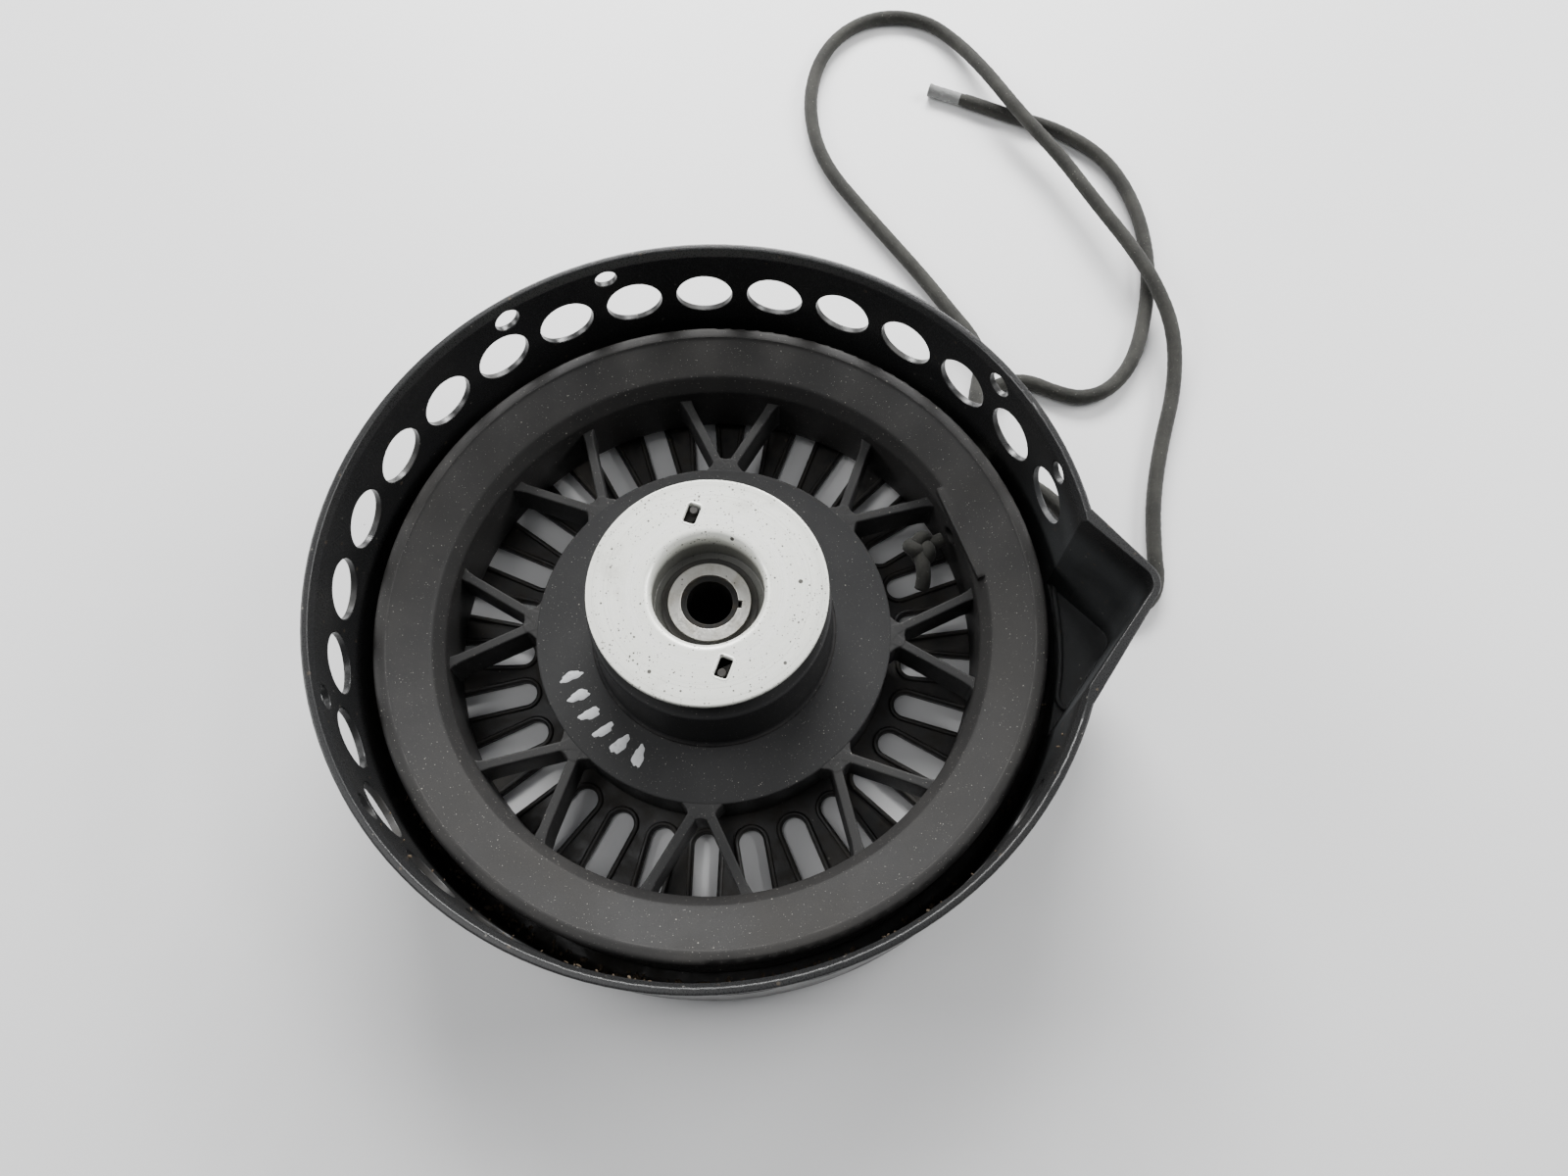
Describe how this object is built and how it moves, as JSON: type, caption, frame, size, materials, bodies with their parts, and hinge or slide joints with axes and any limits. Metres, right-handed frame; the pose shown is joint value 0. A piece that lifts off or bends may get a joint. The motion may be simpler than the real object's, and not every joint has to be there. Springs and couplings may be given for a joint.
{
  "type": "recoil starter",
  "caption": "Small-engine recoil starter: pressed steel drum with a rope reel, friction plate, pawls and loose pull rope.",
  "frame": {"origin": "on the reel's axis at the underside of the drum's floor", "axes": "+Z along the reel's axis towards the drum's open side; +X towards the corner pocket; +Y a quarter turn from it"},
  "size_m": [0.2588, 0.3659, 0.0646],
  "materials": {
    "black_paint": "worn gloss",
    "black_nylon": "dusty satin",
    "zinc_steel": "dull zinc plate",
    "spring_steel": "oiled",
    "pawl_steel": "dull",
    "bronze": "dull",
    "grey_nylon": "satin",
    "rope_braid": "braided"
  },
  "bodies": {
    "housing": {"drum_wall": "black_paint", "drum_floor": "black_paint", "centre_post": "zinc_steel", "thrust_washer": "grey_nylon", "retaining_ring": "spring_steel", "rope_guide": "grey_nylon", "recoil_spring": "spring_steel", "rope_run": "rope_braid", "starter_rope": "rope_braid"},
    "reel": {"reel_hub": "black_nylon", "reel_boss": "black_nylon", "reel_spokes": "black_nylon", "reel_rim": "black_nylon", "reel_bush": "bronze", "wound_rope": "rope_braid", "rope_knot": "rope_braid", "spring_cover": "zinc_steel", "cover_screws": "zinc_steel", "spring_anchor": "spring_steel", "pawl_pins": "zinc_steel", "pawl_spring_a": "spring_steel", "pawl_spring_b": "spring_steel", "brake_spring": "spring_steel"},
    "friction_plate": {"friction_plate": "zinc_steel", "friction_washer": "grey_nylon"},
    "pawl_a": {"pawl_a": "pawl_steel"},
    "pawl_b": {"pawl_b": "pawl_steel"}
  },
  "joints": [
    {"name": "reel_spin", "type": "hinge", "parent": "housing", "child": "reel", "pos_m": [0, 0, 0.02], "axis": [0, 0, 1], "range_deg": [-500, 1000], "stiffness_Nm_per_rad": 0.03},
    {"name": "plate_lag", "type": "hinge", "parent": "reel", "child": "friction_plate", "pos_m": [0, 0, 0.045], "axis": [0, 0, 1], "range_deg": [-2.5, 0]},
    {"name": "pawl_a_swing", "type": "hinge", "parent": "reel", "child": "pawl_a", "pos_m": [-0.01129, 0.02242, 0.0475], "axis": [0, 0, 1], "range_deg": [-22.2, 0], "stiffness_Nm_per_rad": 0.005},
    {"name": "pawl_b_swing", "type": "hinge", "parent": "reel", "child": "pawl_b", "pos_m": [0.01129, -0.02242, 0.0475], "axis": [0, 0, 1], "range_deg": [-22.2, 0], "stiffness_Nm_per_rad": 0.005}
  ],
  "couplings": [
    {"joint": "pawl_a_swing", "follows": "plate_lag", "ratio": 8.8},
    {"joint": "pawl_b_swing", "follows": "plate_lag", "ratio": 8.8}
  ]
}
